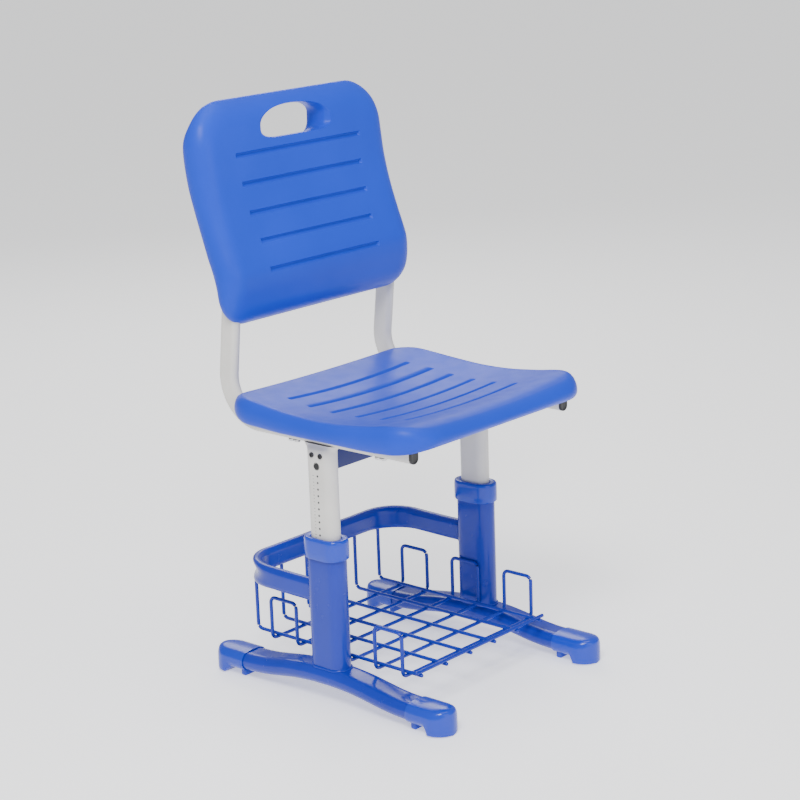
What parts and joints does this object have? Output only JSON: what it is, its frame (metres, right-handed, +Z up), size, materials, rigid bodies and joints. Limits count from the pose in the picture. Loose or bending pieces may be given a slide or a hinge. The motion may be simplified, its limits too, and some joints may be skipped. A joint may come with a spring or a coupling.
{
  "type": "student desk chair",
  "caption": "Height-adjustable school chair: hollow moulded seat and slatted-groove back on bent side tubes, two crank-driven telescopic columns, arched feet and a wire book basket.",
  "frame": {"origin": "on the floor, midway between the two columns, at the centre of the chair's box", "axes": "+Z up, -Y is the way the sitter faces, +X is the sitter's left"},
  "size_m": [0.3786, 0.4267, 0.793],
  "materials": {
    "blue_steel": "gloss powder coat",
    "dark_blue_steel": "gloss powder coat",
    "grey_steel": "satin powder coat",
    "blue_shell": "fine satin",
    "blue_moulding": "smooth",
    "black_plastic": "smooth",
    "grey_plastic": "moulded",
    "nylon": "smooth",
    "zinc_steel": "zinc plated",
    "screw_steel": "bright plated",
    "bright_steel": "machined",
    "brass": "machined"
  },
  "bodies": {
    "base": {"foot_bar_right": "blue_steel", "foot_bar_left": "blue_steel", "outer_column_right": "blue_steel", "outer_column_left": "blue_steel", "rear_band": "blue_steel", "basket_wire_1": "blue_steel", "basket_wire_2": "blue_steel", "basket_wire_3": "blue_steel", "basket_wire_4": "blue_steel", "basket_wire_5": "blue_steel", "basket_wire_6": "blue_steel", "basket_hoop_rear": "blue_steel", "basket_hoop_middle": "blue_steel", "basket_hoop_front": "blue_steel", "basket_front_wire": "blue_steel", "foot_cap_front_right": "blue_moulding", "foot_cap_front_left": "blue_moulding", "foot_cap_rear_right": "blue_moulding", "foot_cap_rear_left": "blue_moulding", "column_collar_right": "blue_moulding", "column_collar_left": "blue_moulding", "nut_post_right": "zinc_steel", "nut_post_left": "zinc_steel", "lead_nut_right": "brass", "lead_nut_left": "brass"},
    "lift": {"inner_column_right": "grey_steel", "inner_column_left": "grey_steel", "side_frame_right": "grey_steel", "side_frame_left": "grey_steel", "rail_plug_right": "black_plastic", "rail_plug_left": "black_plastic", "slide_shoe_right": "nylon", "slide_shoe_left": "nylon", "screw_bearing_right": "nylon", "screw_bearing_left": "nylon", "shaft_bush_right": "nylon", "shaft_bush_left": "nylon", "cross_beam": "dark_blue_steel", "seat_shell": "blue_shell", "back_shell": "blue_shell", "seat_screws": "screw_steel", "back_screws": "screw_steel", "gear_block_screws": "screw_steel", "gear_block_right": "grey_plastic", "gear_block_left": "grey_plastic"},
    "shaft": {"cross_shaft": "bright_steel", "shaft_gear_right": "bright_steel", "shaft_gear_left": "bright_steel"},
    "screw_right": {"lead_screw_right": "bright_steel", "screw_gear_right": "bright_steel"},
    "screw_left": {"lead_screw_left": "bright_steel", "screw_gear_left": "bright_steel"}
  },
  "joints": [
    {"name": "height", "type": "slide", "parent": "base", "child": "lift", "axis": [0, 0, 1], "range_m": [-0.06, 0.04]},
    {"name": "shaft_turn", "type": "hinge", "parent": "lift", "child": "shaft", "pos_m": [0, 0, 0.33], "axis": [1, 0, 0], "range_deg": [-5400, 3600]},
    {"name": "screw_right_turn", "type": "hinge", "parent": "lift", "child": "screw_right", "pos_m": [-0.156, 0, 0.33], "axis": [0, 0, 1], "range_deg": [-5400, 3600]},
    {"name": "screw_left_turn", "type": "hinge", "parent": "lift", "child": "screw_left", "pos_m": [0.156, 0, 0.33], "axis": [0, 0, 1], "range_deg": [-3600, 5400]}
  ],
  "couplings": [
    {"joint": "shaft_turn", "follows": "height", "rad_per_m": 1570.8},
    {"joint": "screw_right_turn", "follows": "height", "rad_per_m": 1570.8},
    {"joint": "screw_left_turn", "follows": "height", "rad_per_m": -1570.8}
  ]
}
